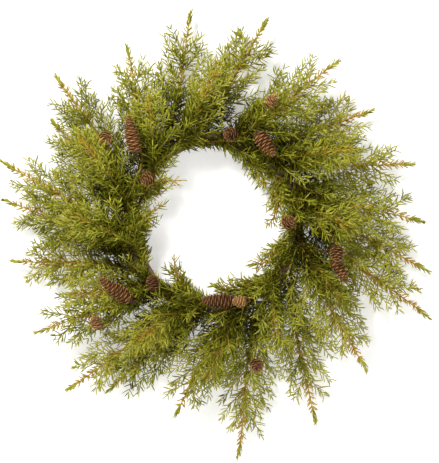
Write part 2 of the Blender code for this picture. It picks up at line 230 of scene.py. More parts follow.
class Thicket:
    """Every limb placed so far, as round-ended segments with a radius and an owner."""

    def __init__(self):
        self.rows = np.empty((0, 8))

    def add(self, points, radii, owner):
        """Adds a limb with one radius, or with one at each of its points."""
        widest = segment_radii(points, radii)
        new = np.column_stack([points[:-1], points[1:], widest, np.full(len(widest), owner)])
        self.rows = np.vstack([self.rows, new])

    def room(self, points, radii, ignored=()):
        """Smallest gap between a limb and everything placed so far by other owners."""
        rows = self.rows[~np.isin(self.rows[:, 7], ignored)]
        if not len(rows):
            return 1.0
        return min(
            (segment_gaps(p, q, rows[:, :3], rows[:, 3:6]) - rows[:, 6] - r).min()
            for p, q, r in zip(points[:-1], points[1:], segment_radii(points, radii))
        )


def segment_radii(points, radii):
    """The greater radius of each segment's two ends."""
    radii = np.broadcast_to(radii, len(points))
    return np.maximum(radii[:-1], radii[1:])


# --- the plan of the sprays ---
def held_at(wanted, seat):
    """Clock angle where a stem leaves the ring, moved clear of the wire, and its bound arc."""
    crossing = WIRE_PITCH * seat / 360
    past = (wanted - crossing) % WIRE_PITCH
    middle = (LEAST_BOUND + MOST_BOUND) / 2
    kept = min(MOST_BOUND, max(LEAST_BOUND, past))
    if not LEAST_BOUND <= past <= MOST_BOUND and past < middle - WIRE_PITCH / 2:
        kept = MOST_BOUND
    return wanted - past + kept, kept + BUTT_AHEAD


def stem_line(leave, bound, seat, tip, aim, lift):
    """Centreline of a spray's stem: along the ring under the wire, then off it to the tip."""
    held = np.array([on_section(a, seat, STEM_LAYER) for a in np.linspace(leave - bound, leave, 4)])
    start = held[-1]
    reach = np.linalg.norm(tip - start)
    turn = math.radians(lift)
    away = clock(leave + 90) * math.cos(turn) + outward(leave, seat) * math.sin(turn)
    first, last = STEM_PULLS[0] * reach, STEM_PULLS[1] * reach
    return held, bezier(start, start + away * first, tip - aim * last, tip, 25)


def plan_stems(thicket):
    """Lays every stem in its seat, lifted off the ring at the first slope that has room."""
    sprays = []
    for kind, tips in ((OUTER, OUTER_TIPS), (FACING, FACING_TIPS), (INNER, INNER_TIPS)):
        for i, (angle, reach) in enumerate(tips):
            seat = kind.seats[i % len(kind.seats)]
            tip = place(angle, reach, kind.fronts[i % len(kind.fronts)])
            aim = unit(clock(angle + kind.heading) + FRONT * kind.forward)
            leave, bound = held_at(angle - kind.arc, seat)
            most_room = -1
            for change in STEM_LIFTS:
                held, free = stem_line(leave, bound, seat, tip, aim, kind.lift + change)
                line = np.vstack([held, free[1:]])
                room = thicket.room(line, STEM_RADIUS)
                if room > most_room:
                    most_room, best = room, (held, free, line)
                if room > STEM_GAP:
                    break
            held, free, line = best
            thicket.add(line, STEM_RADIUS, len(sprays))
            name = f"{kind.name}_{i + 1:02d}"
            sprays.append(dict(name=name, kind=kind, held=held, free=free, twigs=[]))
    return sprays


# --- the plan of the cones ---
def cone_axis(heading, lean):
    """Direction of a cone's crown, from its clock heading and its lean towards the front."""
    turn = math.radians(lean)
    return clock(heading) * math.cos(turn) + FRONT * math.sin(turn)


def cone_outline(length, radius):
    """Distances along a closed cone and its radius there, fullest below the middle."""
    along = np.array([0.0, 0.07, 0.22, 0.45, 0.68, 0.87])
    wide = np.array([0.40, 0.78, 1.0, 0.97, 0.76, 0.46])
    return along * length, wide * radius


def stalk_line(angle, seat, base, axis):
    """Centreline of a stalk: a short hold on the ring, then a bow to the foot of the cone."""
    held = np.array([on_section(a, seat, STALK_LAYER) for a in (angle - STALK_HELD, angle)])
    start = held[-1]
    reach = np.linalg.norm(base - start)
    away = clock(angle + 90) * 0.75 + outward(angle, seat) * 0.66
    pull = STALK_PULL * reach
    bow = bezier(start, start + away * pull, base - axis * pull, base, 6)
    return np.vstack([held, bow[1:]])


def plan_cones(thicket):
    """Each stalk starts from the seat and place on the ring that leave it the most room."""
    cones = []
    rows = [("long_cone", i, row) for i, row in enumerate(LONG_CONES)]
    rows += [("small_cone", i, row) for i, row in enumerate(SMALL_CONES)]
    for number, (kind, index, row) in enumerate(rows):
        angle, ring_radius, front, heading, lean, length, radius = row
        axis = cone_axis(heading, lean)
        base = place(angle, ring_radius, front) - axis * length / 2
        tried = [stalk_line(angle + shift, seat, base, axis)
                 for seat in STALK_SEATS for shift in STALK_SHIFTS]
        stalk = max(tried, key=lambda line: thicket.room(line, STALK_RADIUS))
        along, wide = cone_outline(length, radius)
        body = base + axis * np.append(along, length)[:, None]
        owner = FIRST_CONE + number
        thicket.add(stalk, STALK_RADIUS, owner)
        thicket.add(body, np.append(wide, CROWN_SHARE * radius), owner)
        cones.append(dict(name=f"{kind}_{index + 1:02d}", stalk=stalk, base=base, axis=axis,
                          length=length, radius=radius))
    return cones


# --- the plan of the twigs ---
def frames(direction, roll):
    """Right and front side of a limb, rolled so that its right side comes forward."""
    front = unit(FRONT - direction * (FRONT @ direction))
    right = np.cross(direction, front)
    turn = math.radians(roll)
    return (right * math.cos(turn) + front * math.sin(turn),
            front * math.cos(turn) - right * math.sin(turn))


def twig_line(start, direction, side, angle, length):
    """Centreline of a twig: out from the stem, bending gently back along it."""
    turn = math.radians(angle)
    first = direction * math.cos(turn) + side * math.sin(turn)
    bend = direction - first * (direction @ first)
    t = np.array([0, 0.45, 1])[:, None]
    return start + length * (t * first + TWIG_BEND * t * t * bend)


def resampled(line, distances):
    """Points at distances along a line, and the line's whole length."""
    steps = np.linalg.norm(np.diff(line, axis=0), axis=1)
    along = np.concatenate([[0], np.cumsum(steps)])
    return np.column_stack([np.interp(distances, along, line[:, k]) for k in range(3)]), along[-1]


def stations_of(spray):
    """Places along the free stem where twigs grow, with the stem's direction there."""
    _, total = resampled(spray["free"], [0])
    shares = np.linspace(FIRST_STATION, spray["kind"].last, spray["kind"].stations)
    points, _ = resampled(spray["free"], shares * total)
    ahead, _ = resampled(spray["free"], shares * total + 0.003)
    return shares, points, [unit(step) for step in ahead - points]


def twig_with_room(thicket, number, start, direction, side, cross, tilt, angle, length):
    """The longest and least tilted twig that clears all that is placed, or None."""
    radii = np.linspace(TWIG_RADIUS, TWIG_TIP_RADIUS, 3)
    for share in TWIG_SHARES:
        for more in TWIG_TILTS:
            turn = math.radians(tilt + more)
            leaning = side * math.cos(turn) + cross * math.sin(turn)
            line = twig_line(start, direction, leaning, angle, length * share)
            past_foot = line.copy()
            past_foot[0] += TWIG_FOOT * (line[1] - line[0])
            own = (number, FIRST_TWIG + number)
            if line[:, 1].max() > BACK_LIMIT or thicket.room(line, radii, own) < TWIG_GAP:
                continue
            if thicket.room(past_foot, radii, own[:1]) < TWIG_GAP:
                continue
            thicket.add(past_foot, radii, FIRST_TWIG + number)
            return line
    return None


def plan_twigs(sprays, thicket):
    """Grows every spray's twigs, one station at a time, each where it has room."""
    random = np.random.default_rng(24)
    for step in range(max(spray["kind"].stations for spray in sprays)):
        for number, spray in enumerate(sprays):
            if step >= spray["kind"].stations:
                continue
            shares, points, directions = stations_of(spray)
            right, front = frames(directions[step], spray["kind"].roll)
            wanted = spray["kind"].twig * (1.12 - 0.86 * shares[step])
            slots = [(right, front, 1), (-right, front, 1)]
            if step % 2 == 0:
                slots.append((front, right, 0.75))
            for side, cross, share in slots:
                length = wanted * share * random.uniform(0.85, 1.12)
                angle = TWIG_ANGLE + random.uniform(-6, 6)
                tilt = random.uniform(-12, 12)
                line = twig_with_room(thicket, number, points[step], directions[step], side,
                                      cross, tilt, angle, length)
                if line is not None:
                    spray["twigs"].append(line)


def plan_wreath():
    """Lays the canes, the wire, the stems, the cones and the twigs, in that order."""
    thicket = Thicket()
    for number in range(CANE_COUNT):
        cane, _ = cane_line(number, CANE_STEPS)
        thicket.add(np.vstack([cane, cane[:1]]), CANE_RADIUS, -1)
    wire, _ = wire_line(WIRE_STEPS)
    thicket.add(np.vstack([wire, wire[:1]]), WIRE_RADIUS, -2)
    sprays = plan_stems(thicket)
    cones = plan_cones(thicket)
    plan_twigs(sprays, thicket)
    return sprays, cones


# --- curves in batches ---
GOLDEN = math.radians(137.508)


def units(vectors):
    """Every vector of a stack divided by its own length."""
    return vectors / np.linalg.norm(vectors, axis=-1, keepdims=True)


def crossed(directions):
    """Right and front sides of each direction: the front side is what is left of FRONT, or of
    the vertical where the limb points at the viewer, once its part along the limb is taken away."""
    upright = np.array([0.12, 0.0, 0.99])
    judged = units(directions.mean(axis=1, keepdims=True)) if directions.ndim == 3 else directions
    seen = np.abs(judged @ FRONT)[..., None] < 0.7
    toward = np.where(seen, FRONT, upright)
    front = units(toward - directions * (directions * toward).sum(-1, keepdims=True))
    return np.cross(directions, front), front


def spot(lines, which, shares):
    """Point and direction at a share of each chosen line, by walking its straight steps."""
    steps = np.clip(shares, 0, 1) * (lines.shape[1] - 1)
    low = np.minimum(steps.astype(int), lines.shape[1] - 2)
    a, b = lines[which, low], lines[which, low + 1]
    return a + (b - a) * (steps - low)[:, None], units(b - a)


def lengths_of(lines):
    """Length of each line of a batch."""
    return np.linalg.norm(np.diff(lines, axis=1), axis=2).sum(axis=1)


def arched(starts, directions, sides, angles, lengths, bend, shares):
    """Limbs in a batch, each a parabola: it starts at an angle from its parent, towards one
    side, and its square term bends it back along the parent. The points lie at the shares."""
    turn = angles[:, None]
    first = directions * np.cos(turn) + sides * np.sin(turn)
    back = directions - first * (directions * first).sum(-1, keepdims=True)
    t, bend = np.asarray(shares)[None, :, None], np.reshape(bend, (-1, 1, 1))
    course = t * first[:, None] + bend * t * t * back[:, None]
    return starts[:, None] + lengths[:, None, None] * course


def smooth(lines, count):
    """Each planned twig's own parabola through its start, its mark and its end."""
    ends, marks = lines[:, 2] - lines[:, 0], lines[:, 1] - lines[:, 0]
    square = (ends * TWIG_MARK - marks) / (TWIG_MARK - TWIG_MARK**2)
    t = np.linspace(0, 1, count)[None, :, None]
    return lines[:, :1] + t * (ends - square)[:, None] + t * t * square[:, None]


# --- skins ---
def ringed(lines, widths, depths, sides, forwards=None):
    """Sections round each line: at every point an ellipse whose half-width lies on the line's
    right side and whose half-depth lies on its front side."""
    aims = units(np.gradient(lines, axis=1)) if forwards is None else forwards
    right, front = crossed(aims)
    turns = (np.arange(sides) + 0.5) * math.tau / sides
    across = widths[..., None, None] * np.cos(turns)[:, None] * right[:, :, None]
    deep = depths[..., None, None] * np.sin(turns)[:, None] * front[:, :, None]
    return lines[:, :, None] + across + deep


def skinned(rings, feet, tips, along, tones, spread):
    """Closed skins for a batch of bodies, each from its foot point through its sections to its
    tip point. The map's first number is the share along the body; the second is the body's
    tone plus a part that swings with the angle round the section."""
    bodies, stations, sides = rings.shape[:3]
    middle = rings.reshape(bodies, stations * sides, 3)
    points = np.concatenate([feet[:, None], middle, tips[:, None]], axis=1)
    i = np.arange(sides)
    j = (i + 1) % sides
    last = 1 + (stations - 1) * sides
    walls = [np.stack([np.zeros_like(i), 1 + i, 1 + j], 1)]
    for ring in range(stations - 1):
        low, high = 1 + ring * sides, 1 + (ring + 1) * sides
        walls.append(np.stack([low + i, high + j, low + j], 1))
        walls.append(np.stack([low + i, high + i, high + j], 1))
    walls.append(np.stack([last + j, last + i, np.full_like(i, last + sides)], 1))
    pattern = np.concatenate(walls)
    swing = spread * (0.5 - 0.5 * np.cos((i + 0.5) * math.tau / sides))
    u = np.concatenate([[0.0], np.repeat(along, sides), [1.0]])
    v = np.concatenate([[spread / 2], np.tile(swing, stations), [spread / 2]])
    maps = np.empty((bodies, len(pattern), 3, 2))
    maps[..., 0] = u[pattern]
    maps[..., 1] = v[pattern] + tones[:, None, None]
    faces = pattern[None] + np.arange(bodies)[:, None, None] * points.shape[1]
    return points.reshape(-1, 3), faces.reshape(-1, 3), maps.reshape(-1, 3, 2)


def looped(line, radii, toward):
    """A closed ring of rod: at each point of the closed line a circle of corners, the first of
    them on the side given by toward, each with its own radius; the last circle joins the first."""
    ahead = units(np.roll(line, -1, axis=0) - np.roll(line, 1, axis=0))
    right = units(toward - ahead * (ahead * toward).sum(-1, keepdims=True))
    front = np.cross(right, ahead)
    count, sides = radii.shape
    turns = (np.arange(sides) * math.tau / sides)[None, :, None]
    offset = np.cos(turns) * right[:, None] + np.sin(turns) * front[:, None]
    points = line[:, None] + radii[..., None] * offset
    i, j = np.meshgrid(np.arange(count), np.arange(sides), indexing="ij")
    i, j = i.ravel(), j.ravel()
    here, beside = i * sides + j, i * sides + (j + 1) % sides
    there, aslant = (i + 1) % count * sides + j, (i + 1) % count * sides + (j + 1) % sides
    faces = np.concatenate([np.stack(corners, 1) for corners in
                            ((here, there, aslant), (here, aslant, beside))])
    low = np.stack([i / count, j / sides], 1)
    step_u, step_v = np.array([1 / count, 0]), np.array([0, 1 / sides])
    maps = np.concatenate([np.stack([low, low + step_u, low + step_u + step_v], 1),
                           np.stack([low, low + step_u + step_v, low + step_v], 1)])
    return points.reshape(-1, 3), faces, maps


def together(skins):
    """One skin out of several: their points in a row, their faces counted on."""
    starts = np.cumsum([0] + [len(points) for points, _, _ in skins[:-1]])
    return (np.concatenate([points for points, _, _ in skins]),
            np.concatenate([faces + start for (_, faces, _), start in zip(skins, starts)]),
            np.concatenate([maps for _, _, maps in skins]))


def finished_piece(name, parts, traits=None):
    """A mesh piece from (skin, material) pairs, riding on the one body of the wreath and
    standing for the solid of the same name."""
    points, faces, maps = together([skin for skin, _ in parts])
    mesh = bpy.data.meshes.new(name)
    mesh.vertices.add(len(points))
    mesh.vertices.foreach_set("co", points.astype(np.float32).ravel())
    mesh.loops.add(faces.size)
    mesh.loops.foreach_set("vertex_index", faces.astype(np.int32).ravel())
    mesh.polygons.add(len(faces))
    mesh.polygons.foreach_set("loop_start", np.arange(0, faces.size, 3, dtype=np.int32))
    finishes = list(dict.fromkeys(material for _, material in parts))
    for material in finishes:
        mesh.materials.append(material)
    numbers = [np.full(len(skin[1]), finishes.index(material)) for skin, material in parts]
    mesh.polygons.foreach_set("material_index", np.concatenate(numbers).astype(np.int32))
    mesh.uv_layers.new(name="OFBake").uv.foreach_set("vector", maps.astype(np.float32).ravel())
    for trait, values in (traits or {}).items():
        kept = mesh.attributes.new(trait, "FLOAT", "POINT")
        kept.data.foreach_set("value", values.astype(np.float32))
    mesh.update(calc_edges=True)
    mesh.shade_smooth()
    made = in_scene(name + "_finished", mesh)
    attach(made, "root")
    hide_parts(name)


# --- room round the cones ---
def beside_cones(cones, points, margin, cover):
    """True for each point that lies in a cone grown by a margin, or in front of one within a
    share of its radius, where it would hide it."""
    hidden = np.zeros(len(points), bool)
    for cone in cones:
        away = points - cone["base"]
        share = np.clip(away @ cone["axis"] / cone["length"], -0.02, 1.0)
        offset = away - np.outer(share * cone["length"], cone["axis"])
        along, wide = cone_outline(1.0, cone["radius"])
        crown = CROWN_SHARE * cone["radius"]
        radius = np.interp(share, np.append(along, 1.0), np.append(wide, crown))
        hidden |= np.linalg.norm(offset, axis=1) < radius + margin
        aside = np.hypot(offset[:, 0], offset[:, 2])
        hidden |= (offset @ FRONT > 0) & (aside < cover * radius)
    return hidden


def within_reach(points):
    """True for each point inside the solids' box, let out by a little growth on each side."""
    low, high = np.array(cad_box[0]), np.array(cad_box[1])
    grown = GROWTH_SHARE * (high - low) + GROWTH
    inside = ((points > low - grown) & (points < high + grown)).all(axis=1)
    return inside & (points[:, 1] < BACK_PLANE)


# --- bark, shoots and needles ---
TWIG_MARK = 0.45
GROWTH = 0.0075
GROWTH_SHARE = 0.024
BACK_PLANE = 0.0155
STEM_SIDES, STEM_POINTS = 8, 60
SPUR_KNOBS, SPUR_PITCH = 0.2, 0.0064
TWIG_SIDES, TWIG_POINTS = 6, 9
SHOOT_SIDES, SHOOT_SHARES = 5, np.linspace(0, 1, 6)
SHOOT_RADIUS, SHOOT_TIP_RADIUS = 0.0006, 0.0003
SHOOT_MARKS = (0.30, 0.62)
# Shares of the twig-bearing stretch of a stem where short shoots stand.
BETWEEN_TWIGS = (0.02, 0.05, 0.08, 0.11, 0.14, 0.17, 0.21, 0.25, 0.29, 0.33, 0.38, 0.43,
                 0.49, 0.56, 0.64, 0.74, 0.84, 0.95)
SHOOT_LENGTHS = (0.010, 0.046)
# Length of the shoots on stems and on twigs, against the limb's, and how full they stand.
ON_STEM, ON_TWIG = (0.25, 0.95), (0.46, 0.62)
# How much younger than a stem's the bark of its twigs and of their shoots looks.
TWIG_YOUTH, SHOOT_YOUTH = 0.60, 0.82
# Distances from the ring's heart between which the needles go from painted shade to full light,
# the radii between which painted light makes them lighter again at the opening's edge, the span
# of tone that this painted shade and light moves, the share of light that leaves a tone as it is,
# and the highest tone.
HEART = (0.020, 0.080)
EDGE = (0.132, 0.090)
PAINTED_SHADE_SPAN, PAINTED_SHADE_MIDDLE = 0.68, 0.72
MOST_GREEN = 0.74
# Shares of a stem's hold on the ring where shoots lean over the ring's inner edge.
EDGE_MARKS = (0.04, 0.20, 0.36, 0.52, 0.68, 0.84, 0.98)
EDGE_LENGTHS = (0.008, 0.018)
# Radii between which the needles towards the wreath's opening thin out, and the least one
# that its shoots keep.
OPENING = (0.058, 0.094)
SHOOT_OPENING = 0.078
CONE_MARGIN = 0.0012
CONE_COVER = 0.45
# A needle's spindle: its greatest half-width, the shares along it of its two sections, and
# their half-widths and half-depths against the greatest.
NEEDLE_HALF = 0.00098
NEEDLE_STATIONS = (0.26, 0.74)
NEEDLE_WIDTHS, NEEDLE_DEPTHS = np.array([1.0, 0.86]), np.array([0.62, 0.52])
# How needles are strewn: less to the front than to the sides, shorter past a share of the
# limb, and the spans of chance in their lean, length, bend and tone.
NEEDLE_FORWARD = 0.8
SHORTER_PAST = 0.45
LEAN_SCATTER = 11
LENGTH_SCATTER = (0.70, 1.12)
BEND_SCATTER = (-0.20, 0.42)
TONE_RISE, TONE_SCATTER = 0.10, 0.15

# The bands of the foliage map's second number that hold the needles' and the bark's tones.
NEEDLE_BAND, NEEDLE_SPREAD = (0.03, 0.66), 0.03
BARK_BAND, BARK_SPREAD = (0.77, 0.92), 0.06

# How a stretch of limb carries needles: the pitch of its clusters and the needles in each,
# the needles' length, their lean from the limb in degrees at its start and at its end, the
# share of their length kept at the end, the stretch of the limb that bears them, and how far
# their tone is moved towards straw.
Leafing = namedtuple("Leafing", "pitch count length lean end_lean kept start stop gold")
TWIG_LEAVES = Leafing(0.0062, 3, 0.0170, 54, 40, 0.62, 0.04, 1.0, 0.0)
SHOOT_LEAVES = Leafing(0.0060, 3, 0.0156, 52, 36, 0.62, 0.06, 1.0, 0.0)
BASE_LEAVES = Leafing(0.0040, 4, 0.0175, 66, 56, 0.90, 0.02, 0.46, 0.0)
SPUR_LEAVES = Leafing(0.0064, 4, 0.0150, 60, 50, 0.80, 0.02, 0.66, 0.12)
SHEATH_LEAVES = Leafing(0.0036, 3, 0.0062, 38, 34, 0.80, 0.02, 0.64, 0.32)
TUFT_LEAVES = Leafing(0.0070, 7, 0.0128, 60, 46, 0.72, 0.58, 0.92, 0.20)
LEADER_LEAVES = Leafing(0.0032, 4, 0.0112, 28, 13, 0.80, 0.90, 0.99, 0.0)
HELD_LEAVES = Leafing(0.0042, 4, 0.0110, 60, 54, 1.0, 0.02, 1.0, 0.0)


def band(limits, tones):
    """Tones from 0 to 1 set into a band of the map."""
    return limits[0] + (limits[1] - limits[0]) * np.clip(tones, 0, 1)


def side_shoots(random, lines, marks, share, fullness):
    """Shoots off a batch of limbs: one at each mark, on alternate sides and turned out of the
    limb's plane at random, shorter towards the limb's end."""
    which = np.repeat(np.arange(len(lines)), len(marks))
    order = np.tile(np.arange(len(marks)), len(lines))
    at = np.array(marks)[order] + random.uniform(-0.04, 0.04, len(which))
    starts, aims = spot(lines, which, at)
    right, front = crossed(aims)
    hand = 1.0 - 2.0 * ((order + which) % 2)
    turn = np.radians(random.uniform(-48, 48, len(which)))[:, None]
    sides = right * hand[:, None] * np.cos(turn) + front * np.sin(turn)
    angles = np.radians(random.uniform(28, 46, len(which)))
    wanted = lengths_of(lines)[which] * share * (1.15 - 0.8 * at)
    lengths = np.clip(wanted * random.uniform(0.75, 1.2, len(which)), *SHOOT_LENGTHS)
    shoots = arched(starts, aims, sides, angles, lengths, TWIG_BEND, SHOOT_SHARES)
    kept = random.random(len(which)) < fullness
    return shoots[kept], which[kept]


def edge_shoots(random, held):
    """Shoots off a stem's hold that lean forwards along the ring and over its inner edge."""
    which = np.zeros(len(EDGE_MARKS), int)
    starts, aims = spot(held, which, np.array(EDGE_MARKS))
    inward, front = crossed(aims)
    turn = np.radians(random.uniform(-30, 55, len(which)))[:, None]
    sides = inward * np.cos(turn) + front * np.sin(turn)
    angles = np.radians(random.uniform(26, 44, len(which)))
    lengths = random.uniform(*EDGE_LENGTHS, len(which))
    return arched(starts, aims, sides, angles, lengths, TWIG_BEND, SHOOT_SHARES)


def from_middle(points):
    """Distance of each point from the wreath's own axis."""
    return np.hypot(points[:, 0], points[:, 2] - CENTRE[2])


def clear_limbs(cones, lines):
    """True for each limb that stays in the wreath's reach, out of its opening and off the cones."""
    flat = lines.reshape(-1, 3)
    good = within_reach(flat) & (from_middle(flat) > SHOOT_OPENING)
    good &= ~beside_cones(cones, flat, CONE_MARGIN + SHOOT_RADIUS, CONE_COVER)
    return good.reshape(lines.shape[:2]).all(axis=1)


def from_heart(points):
    """Distance of each point from the circle that runs along the middle of the ring."""
    return np.hypot(from_middle(points) - RING_RADIUS, points[:, 1])


def needles_on(random, lines, leafing, tones, cones):
    """Needles on a batch of limbs. They grow in clusters a pitch apart, each a golden angle on
    from the last, and lean forwards more and get shorter towards the limb's end. A needle is a
    thin spindle of three sides along a short parabola. Painted shade gives darker tones to those
    deep in the wreath, and painted light gives lighter tones to those at the opening's edge."""
    spans = lengths_of(lines) * (leafing.stop - leafing.start)
    clusters = np.maximum(2, np.round(spans / leafing.pitch).astype(int))
    counts = clusters * leafing.count
    which = np.repeat(np.arange(len(lines)), counts)
    order = np.arange(len(which)) - np.repeat(np.cumsum(counts) - counts, counts)
    step = order // leafing.count + 0.5 + random.uniform(-0.3, 0.3, len(which))
    share = step / clusters[which]
    bases, aims = spot(lines, which, leafing.start + (leafing.stop - leafing.start) * share)
    right, front = crossed(aims)
    turn = (GOLDEN * order + random.uniform(-0.5, 0.5, len(which)))[:, None]
    out = units(right * np.cos(turn) + NEEDLE_FORWARD * front * np.sin(turn))
    late = np.clip((share - SHORTER_PAST) / (1 - SHORTER_PAST), 0, 1)
    lean = leafing.lean + (leafing.end_lean - leafing.lean) * share
    lean += random.uniform(-LEAN_SCATTER, LEAN_SCATTER, len(which))
    length = leafing.length * (1 + (leafing.kept - 1) * late)
    length *= random.uniform(*LENGTH_SCATTER, len(which))
    bend = random.uniform(*BEND_SCATTER, len(which))
    spines = arched(bases, aims, out, np.radians(lean), length, bend, (0, *NEEDLE_STATIONS, 1))
    tips = spines[:, 3]
    good = within_reach(tips) & ~beside_cones(cones, spines[:, 2], CONE_MARGIN, CONE_COVER)
    good &= ~beside_cones(cones, tips, CONE_MARGIN / 2, CONE_COVER - 0.25)
    good &= from_middle(tips) > random.uniform(*OPENING, len(tips))
    spines, share, which = spines[good], share[good], which[good]
    half = NEEDLE_HALF * random.uniform(0.82, 1.12, len(spines))[:, None]
    rings = ringed(spines[:, 1:3], half * NEEDLE_WIDTHS, half * NEEDLE_DEPTHS, 3)
    # Painted shade and light: needles deep in the wreath take darker tones, those at the opening's
    # edge lighter ones.
    outside = (from_heart(spines[:, 2]) - HEART[0]) / (HEART[1] - HEART[0])
    inside = (EDGE[0] - from_middle(spines[:, 2])) / (EDGE[0] - EDGE[1])
    shown = np.clip(np.maximum(outside, inside), 0, 1)
    shade = tones[which] + TONE_RISE * (share - 0.5) + random.normal(0, TONE_SCATTER, len(spines))
    shade = np.clip(shade + PAINTED_SHADE_SPAN * (shown - PAINTED_SHADE_MIDDLE), 0.0, MOST_GREEN) + leafing.gold
    return skinned(rings, spines[:, 0], spines[:, 3], np.array(NEEDLE_STATIONS),
                   band(NEEDLE_BAND, shade), NEEDLE_SPREAD)


def tapered(foot_radius, tip_radius, count):
    """Radii that fall evenly from foot to tip."""
    return np.linspace(1, tip_radius / foot_radius, count) * foot_radius


def bark_on(lines, radii, sides, tones, ends=(0.02, 0.97)):
    """Round bark on a batch of limbs, with a radius at each point but the last, which is the
    tip of a blunt bud."""
    widths = np.tile(radii, (len(lines), 1))
    aims = units(np.gradient(lines, axis=1))[:, :-1]
    rings = ringed(lines[:, :-1], widths, widths, sides, aims)
    along = np.linspace(*ends, len(radii))
    return skinned(rings, lines[:, 0], lines[:, -1], along, band(BARK_BAND, tones), BARK_SPREAD)


def evened(line, count):
    """The same line with its points spaced evenly."""
    steps = np.linalg.norm(np.diff(line, axis=0), axis=1).sum()
    return resampled(line, np.linspace(0, steps, count))[0]


def stem_bark(spray, tone):
    """The whole stem: its hold on the ring, its free part, and the knobs of old spurs, which
    are a raised sine to a high power along the stem."""
    line = evened(np.vstack([spray["held"], spray["free"][1:]]), STEM_POINTS)[None]
    at = np.linspace(0, lengths_of(line)[0], STEM_POINTS)[:-1]
    knobs = 1 + SPUR_KNOBS * np.sin(at / SPUR_PITCH * math.pi) ** 8
    radii = np.linspace(STEM_RADIUS, STEM_TIP_RADIUS, STEM_POINTS - 1) * knobs
    return bark_on(line, radii, STEM_SIDES, np.array([tone]), (0.01, 0.98))


def dress_spray(random, spray, cones, bark, needle):
    """One spray as it grew: stem, planned twigs, the shoots between and on them, and needles.
    Sprays held on the ring's front and inner side also close the ring's inner edge."""
    hue = np.clip(random.normal(0.50, 0.10), 0.25, 0.75)
    wood = np.clip(random.normal(0.18, 0.12), 0.0, 0.40)
    kind = spray["kind"]
    stem = spray["free"][None]
    held = evened(spray["held"], TWIG_POINTS)[None]
    twigs = smooth(np.array(spray["twigs"]), TWIG_POINTS)
    twig_hues = hue + random.normal(0, 0.07, len(twigs))
    marks = kind.last * np.array(BETWEEN_TWIGS)
    on_stem, _ = side_shoots(random, stem, marks, *ON_STEM)
    on_stem = on_stem[clear_limbs(cones, on_stem)]
    on_twigs, parents = side_shoots(random, twigs, SHOOT_MARKS, *ON_TWIG)
    kept = clear_limbs(cones, on_twigs)
    on_twigs, parents = on_twigs[kept], parents[kept]
    at_edge = edge_shoots(random, held) if kind is not OUTER else held[:0, :len(SHOOT_SHARES)]
    at_edge = at_edge[clear_limbs(cones, at_edge)]
    shoots = np.concatenate([on_stem, at_edge, on_twigs])
    shoot_hues = np.concatenate([np.full(len(on_stem) + len(at_edge), hue), twig_hues[parents]])
    shoot_hues += random.normal(0, 0.05, len(shoots))
    parts = [(stem_bark(spray, wood), bark)]
    for limbs, foot, tip, sides, youth in (
            (twigs, TWIG_RADIUS, TWIG_TIP_RADIUS, TWIG_SIDES, TWIG_YOUTH),
            (shoots, SHOOT_RADIUS, SHOOT_TIP_RADIUS, SHOOT_SIDES, SHOOT_YOUTH)):
        radii = tapered(foot, tip, limbs.shape[1] - 1)
        parts.append((bark_on(limbs, radii, sides, np.full(len(limbs), wood + youth)), bark))
    for limbs, leafing, tones in (
            (twigs, TWIG_LEAVES, twig_hues), (shoots, SHOOT_LEAVES, shoot_hues),
            (held, HELD_LEAVES, hue), (stem, BASE_LEAVES, hue - 0.05),
            (stem, SPUR_LEAVES, hue + 0.05), (stem, SHEATH_LEAVES, hue),
            (stem, TUFT_LEAVES, hue), (stem, LEADER_LEAVES, hue - 0.04)):
        parts.append((needles_on(random, limbs, leafing, np.atleast_1d(tones), cones), needle))
    finished_piece(spray["name"], parts)


# --- cones ---
# How a cone bears its scales: the height from one to the next, their length and greatest width
# as shares of the cone's greatest radius, and how far their lips stand out.
Scaling = namedtuple("Scaling", "pitch length width flare")
LONG_SCALING = Scaling(0.00074, 0.56, 1.95, 0.10)
SMALL_SCALING = Scaling(0.00058, 0.66, 1.75, 0.14)
SCALE_SIDES = 6
SCALE_STATIONS = np.array([0.08, 0.45, 0.70, 0.88, 0.97])
SCALE_THICKNESS = 0.00036
# Share along a scale where it is widest, and where its foot stands against the outline.
SCALE_WIDEST, SCALE_FOOT = 0.62, 0.30
CORE_SIDES, CORE_POINTS, CORE_SHARE = 12, 12, 0.52
STALK_POINTS, STALK_SHADE = 10, 0.60


def cone_radius(shares, radius):
    """The closed outline's radius at shares of the cone's length, rounded in at the crown."""
    along, wide = cone_outline(1.0, radius)
    along = np.append(along, 1.0)
    wide = np.append(wide, 0.16 * radius)
    return np.interp(shares, along, wide)


